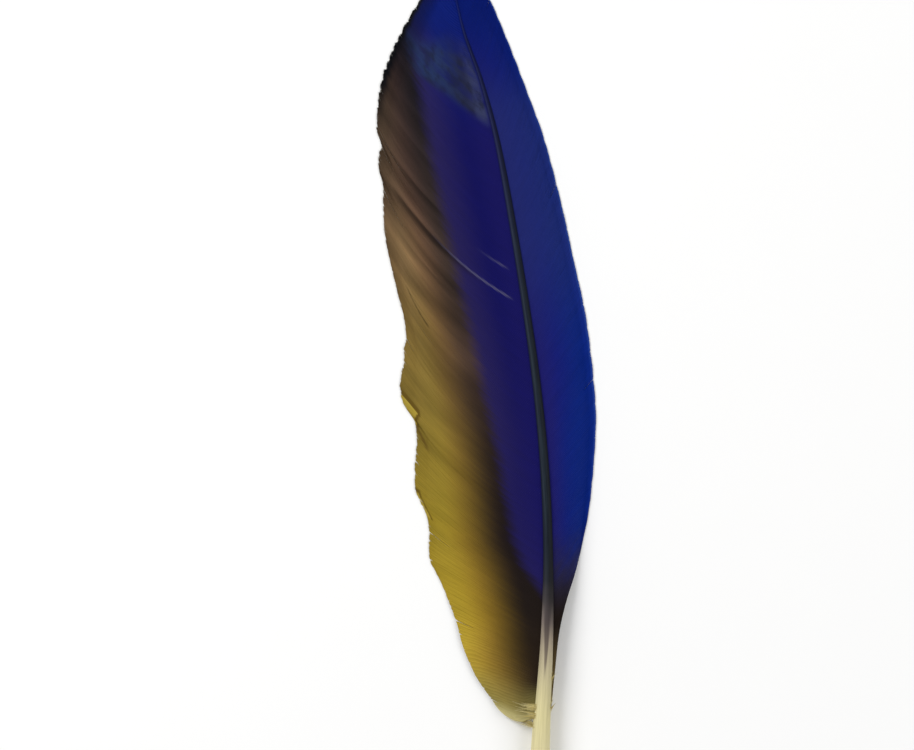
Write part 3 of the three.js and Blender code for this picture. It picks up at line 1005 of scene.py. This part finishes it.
# %% Words for a finished mesh
def closed_outward(mesh):
    """Turns a closed mesh's faces outward and returns its volume in cubic millimetres."""
    mesh.calc_loop_triangles()
    co = np.empty(len(mesh.vertices) * 3, np.float32)
    mesh.vertices.foreach_get("co", co)
    tri = np.empty(len(mesh.loop_triangles) * 3, int)
    mesh.loop_triangles.foreach_get("vertices", tri)
    a, b, c = np.moveaxis(co.reshape(-1, 3).astype(float)[tri.reshape(-1, 3)] / MM, 1, 0)
    volume = (a * np.cross(b, c)).sum() / 6
    if volume < 0:
        mesh.flip_normals()
    return abs(volume)


def read(mesh, name):
    data = mesh.attributes[name].data
    values = np.empty(len(data), np.float32)
    data.foreach_get("value", values)
    return values


def bake_layout(mesh, count):
    """A UV map with a strip for each barb: upper sides in the lower half, undersides above."""
    corner = corner_points(mesh)
    u = (read(mesh, "barb_number") + 0.5 + 0.46 * read(mesh, "across_barb")) / count
    v = 0.004 + 0.488 * read(mesh, "along_barb")
    below = np.repeat(read(mesh, "under") > 0.5, [len(p.vertices) for p in mesh.polygons])
    add_uv(mesh, "OFBake", u[corner], v[corner] + 0.5 * below)


print("words for a mesh: closed_outward, read and bake_layout")

# %% Lay both vanes
def lay_vane(name, sheet, roots, upper, under, seed, **more):
    count = len(roots.data.vertices)
    modifier = sheet.modifiers.new("lay", "NODES")
    modifier.node_group = lay_barbs
    chosen = {"Barb": barb, "Roots": roots, "Barbs": count, "Seed": seed, "Upper side": upper,
              "Underside": under, **more}
    for item in lay_barbs.interface.items_tree:
        if item.in_out == "INPUT" and item.name in chosen:
            modifier[item.identifier] = chosen[item.name]
    ready = sheet.evaluated_get(bpy.context.evaluated_depsgraph_get())
    mesh = bpy.data.meshes.new_from_object(ready)
    mesh.name = name
    # The first slot is the straight barb's own, which has no material.
    mesh.materials.pop(index=0)
    sheet.modifiers.remove(modifier)
    volume = closed_outward(mesh)
    bake_layout(mesh, count)
    for extra in ("target", "under", "first", "last", "first_from", "last_from"):
        mesh.attributes.remove(mesh.attributes[extra])
    piece = new_object(name, mesh)
    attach(piece, "root")
    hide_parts("feather")
    print(f"{name}: {count} barbs, {volume:.0f} mm3, materials", [m.name for m in mesh.materials])
    return piece


inner_vane = lay_vane("inner_vane", inner_sheet, inner_roots, inner_upper, inner_under, 4)
outer_vane = lay_vane("outer_vane", outer_sheet, outer_roots, outer_upper, outer_under, 9,
                      **{"Uneven ends": 0.006, "Wander": 0.6})
for helper in (inner_sheet, outer_sheet, inner_roots, outer_roots, barb):
    bpy.data.objects.remove(helper)

# %% [markdown]
# ## The shaft
#
# The quill is a round tube with a small hole at its end, where the growing feather was fed.
# Further up the shaft is squarer, with a groove along its underside, and it thins to a hair at
# the tip. A swept curve would stay round, so rings of points along the same line make it, with
# the hole as rings that turn inward.

# %% One ring of the shaft
RINGS, SIDES = 220, 24
s = np.linspace(0, 1, RINGS) ** 1.1
middle, ahead, right, half, tall, z = shaft_at(s)
half = half * (1 - 0.4 * ease(s, 0.75, 1) - 0.25 * ease(s, 0.92, 1))
squarer = ease(s, 0.2, 0.3)
verts, along_shaft, round_shaft, top_middle = [], [], [], []


def ring(i, scale, forward=0.0):
    """Adds the ring at s[i], scaled about the middle and moved forward by millimetres."""
    for k in range(SIDES):
        angle = k / SIDES * math.tau
        c, v = math.cos(angle), math.sin(angle)
        power = 2 + squarer[i]
        r = (abs(c) ** power + abs(v) ** power) ** (-1 / power)
        groove = 0.3 * squarer[i] * max(0, -v - 0.8) / 0.2
        x, y = middle[i] + right[i] * half[i] * scale * r * c + ahead[i] * forward
        verts.append((x, y, z[i] + tall[i] * scale * (r * v + groove)))
        along_shaft.append(s[i])
        round_shaft.append((k / SIDES + 0.25) % 1)
        top_middle.append(v)


print(f"the shaft is {2 * half[0]:.1f} mm wide at its end and {2 * half[-1]:.1f} mm at its tip")

# %% The hole, the shaft and its tip
# From the bottom of the hole outwards: each ring's scale and how far inside it lies.
HOLE = ((0.02, 3.0), (0.42, 2.9), (0.5, 0.4), (0.62, 0.05), (0.8, 0.0), (0.94, 0.12))
for scale, forward in HOLE:
    ring(0, scale, forward)
for i in range(1, RINGS):
    ring(i, 1.0)
ring(RINGS - 1, 0.5, 0.1)
mesh = new_mesh("shaft", in_place(*np.array(verts).T).tolist(),
                ring_faces(len(verts) // SIDES, SIDES), True, along_shaft=along_shaft,
                round_shaft=round_shaft, top_middle=top_middle)
volume = closed_outward(mesh)
mesh.materials.append(bone)
shaft = new_object("shaft", mesh)
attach(shaft, "root")
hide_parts("feather")
print(f"shaft: {len(mesh.polygons)} faces, {volume:.0f} mm3")

# %% [markdown]
# ## The loose barbs at the base
#
# The lowest barbs have no hooks, so they curl free of the vane, cream coloured and downy. Hair
# could stand for them, but a printed or exported feather needs a mesh. So each is a thin tube
# that tapers to nothing, with shorter, finer ones along it. Most lie beside the wide vane's
# base, some on top of it, and a few short ones on the narrow side.

# %% A thin tube along points
def tube(points, radii, sides):
    """The points of a tube's rings, one ring round each point of its middle line."""
    ahead = np.gradient(points, axis=0)
    ahead /= np.linalg.norm(ahead, axis=1, keepdims=True)
    around = []
    for p, d, r in zip(points, ahead, radii):
        side = np.cross(d, (0.0, 0.0, 1.0) if abs(d[2]) < 0.9 else (1.0, 0.0, 0.0))
        side /= np.linalg.norm(side)
        top = np.cross(side, d)
        for k in range(sides):
            angle = k / sides * math.tau
            around.append(p + r * (side * math.cos(angle) + top * math.sin(angle)))
    return around


print("a tube of two points and three sides has", len(tube(np.eye(3)[:2], (1, 1), 3)), "points")

# %% How the loose barbs may differ
STRANDS, STRAND_STEPS = 74, 12
# Ranges: place on the shaft, height on it, length in mm, angle and curl in degrees.
WIDE_SIDE = ((0.176, 0.2), (0.1, 0.6), (3.5, 8.5), (70, 112), (-5, 60))
NARROW_SIDE = ((0.19, 0.235), (0.1, 0.6), (1.2, 2.8), (15, 45), (-20, 30))
# The same for the ones on top of the vane, without the height, and with the curl in radians.
ON_TOP = ((0.187, 0.205), (1.5, 6.5), (72, 98), (-0.7, 0.5))
print(f"loose barbs from {NARROW_SIDE[2][0]} to {WIDE_SIDE[2][1]} mm long")

# %% The middle line of one loose barb
def strand(rng, n):
    """The points of loose barb n, and whether it is one of the plainer ones."""
    side = -1 if n % 5 else 1
    on_top = side < 0 and n % 4 == 1
    s, lift, long, out, curl = (rng.uniform(*r) for r in (WIDE_SIDE if side < 0 else NARROW_SIDE))
    off_middle, curl = 0.75, math.radians(curl)
    if on_top:
        s, long, out, curl = (rng.uniform(*r) for r in ON_TOP)
        off_middle, lift = 0.8, 0.7
    middle, along, right, half, tall, z = shaft_at(s)
    out = math.radians(out)
    points = [np.array([*(middle + right * side * half * off_middle), z + tall * lift])]
    place, start = points[0][:2].copy(), points[0][2]
    for j in range(1, STRAND_STEPS + 1):
        t = j / STRAND_STEPS
        turn = out - curl * t
        heading = along * math.cos(turn) + right * side * math.sin(turn)
        place = place + heading * long / STRAND_STEPS
        if on_top:
            height = z + 0.3 * tall + 0.7 - 4.4 * (long * t / 12) ** 1.8
        elif side > 0:
            height = start - 0.5 * long * t ** 2
        else:
            height = mix(start, rng.uniform(1.7, 2.0), min(1.0, t * 1.1))
            height += 0.5 * math.sin(3 * t + n)
        points.append(np.array([*place, max(0.35, height)]))
    return np.array(points), on_top or side > 0


print("strand 0 would be", round(np.ptp(strand(np.random.default_rng(0), 0)[0][:, 1]), 1),
      "mm long up the feather")

# %% The finer barbules on it
def barbules(rng, points, scale):
    """A pair of short ones at every half step: how far along they are, and their points."""
    for j in np.arange(1.5, STRAND_STEPS, 0.5):
        i = int(j)
        base = mix(points[i], points[i + 1], j - i)
        ahead = points[i + 1] - points[i - 1]
        ahead /= np.linalg.norm(ahead)
        for flip in (-1, 1):
            sideways = np.array([-ahead[1], ahead[0], 0]) * flip
            fine = rng.uniform(0.3, 0.9) * (1.2 - j / STRAND_STEPS) * scale
            bend = rng.uniform(-0.2, 0.4)
            tip = base + (ahead * 0.8 + sideways) * fine + (0, 0, bend * fine)
            half_way = base + (ahead * 0.3 + sideways * 0.6) * fine
            line = np.array([base, half_way, tip])
            line[:, 2] = np.maximum(line[:, 2], 0.1)
            yield j / STRAND_STEPS, line


print("barbules on each strand:", 2 * len(np.arange(1.5, STRAND_STEPS, 0.5)))

# %% All the loose barbs as one piece
rng = np.random.default_rng(5)
verts, faces, chances, alongs = [], [], [], []
for n in range(STRANDS):
    points, plainer = strand(rng, n)
    chance = rng.uniform()
    tubes = [(np.linspace(0, 1, STRAND_STEPS + 1), points,
              np.linspace(0.07, 0.02, STRAND_STEPS + 1), 5)]
    for far, line in barbules(rng, points, 0.5 if plainer else 1):
        tubes.append(([min(1, far + 0.1)] * 3, line, (0.035, 0.028, 0.012), 3))
    for far, line, radii, sides in tubes:
        faces += ring_faces(len(line), sides, len(verts))
        verts += tube(line, radii, sides)
        chances += [chance] * len(line) * sides
        alongs += list(np.repeat(far, sides))
mesh = new_mesh("base_down", in_place(*np.array(verts).T).tolist(), faces, True,
                chance=chances, along_barb=alongs)
closed_outward(mesh)
mesh.materials.append(cream)
base_down = new_object("base_down", mesh)
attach(base_down, "root")
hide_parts("feather")
print(f"base_down: {STRANDS} loose barbs, {len(faces)} faces")

# %% [markdown]
# ## Table, light and camera
#
# The feather lies on a plain pale table. A large soft light from the upper left and a weaker
# one from the right show the barbs without hard shadows. The camera looks straight down from
# two thirds of a metre, turned so that the feather leans as it did when it stood. One hard
# lamp would be simpler, but its glints on so many ridges would hide the colours.

# %% The table
pale, t, shader = new_material("table")
grain = t.out("ShaderNodeTexNoise", t.node("ShaderNodeTexCoord").outputs["Object"],
              Scale=60.0, Detail=2.0)
t.finish(shader, Base_Color=t.blend(t.times(grain, 0.03), (0.94, 0.94, 0.935, 1),
                                    (0.7, 0.7, 0.7, 1)), Roughness=0.85)
corners = [(-2, -2, 0), (2, -2, 0), (2, 2, 0), (-2, 2, 0)]
table = new_object("table", new_mesh("table", corners, [(0, 1, 2, 3)]))
table.data.materials.append(pale)
print("the table is", table.dimensions.x, "m wide")

# %% Two soft lights and a white room
def soft_light(name, place, size, watts):
    data = bpy.data.lights.new(name, "AREA")
    data.size, data.energy = size, watts
    lamp = new_object(name, data)
    lamp.location = place
    lamp.rotation_euler = (-Vector(place)).to_track_quat("-Z", "Y").to_euler()
    print(f"{name} light: {watts} W, {Vector(place).length:.2f} m away")


soft_light("key", (-0.7, 0.5, 0.9), 0.7, 10.5)
soft_light("fill", (0.8, -0.3, 0.9), 0.9, 5.5)
world = bpy.data.worlds.new("room")
world.use_nodes = True
world.node_tree.nodes["Background"].inputs["Color"].default_value = (1, 1, 1, 1)
world.node_tree.nodes["Background"].inputs["Strength"].default_value = 0.4
bpy.context.scene.world = world
bpy.context.scene.view_settings.view_transform = "Standard"

# %% The camera, straight above
camera_data = bpy.data.cameras.new("camera")
camera_data.lens, camera_data.sensor_width = 100, 36
camera = new_object("camera", camera_data)
camera.location = (-0.01007, 0.0157, 0.676)
camera.rotation_euler = (0, 0, -math.radians(4.986))
bpy.context.scene.camera = camera
print("the camera is", camera.location.z, "m up")
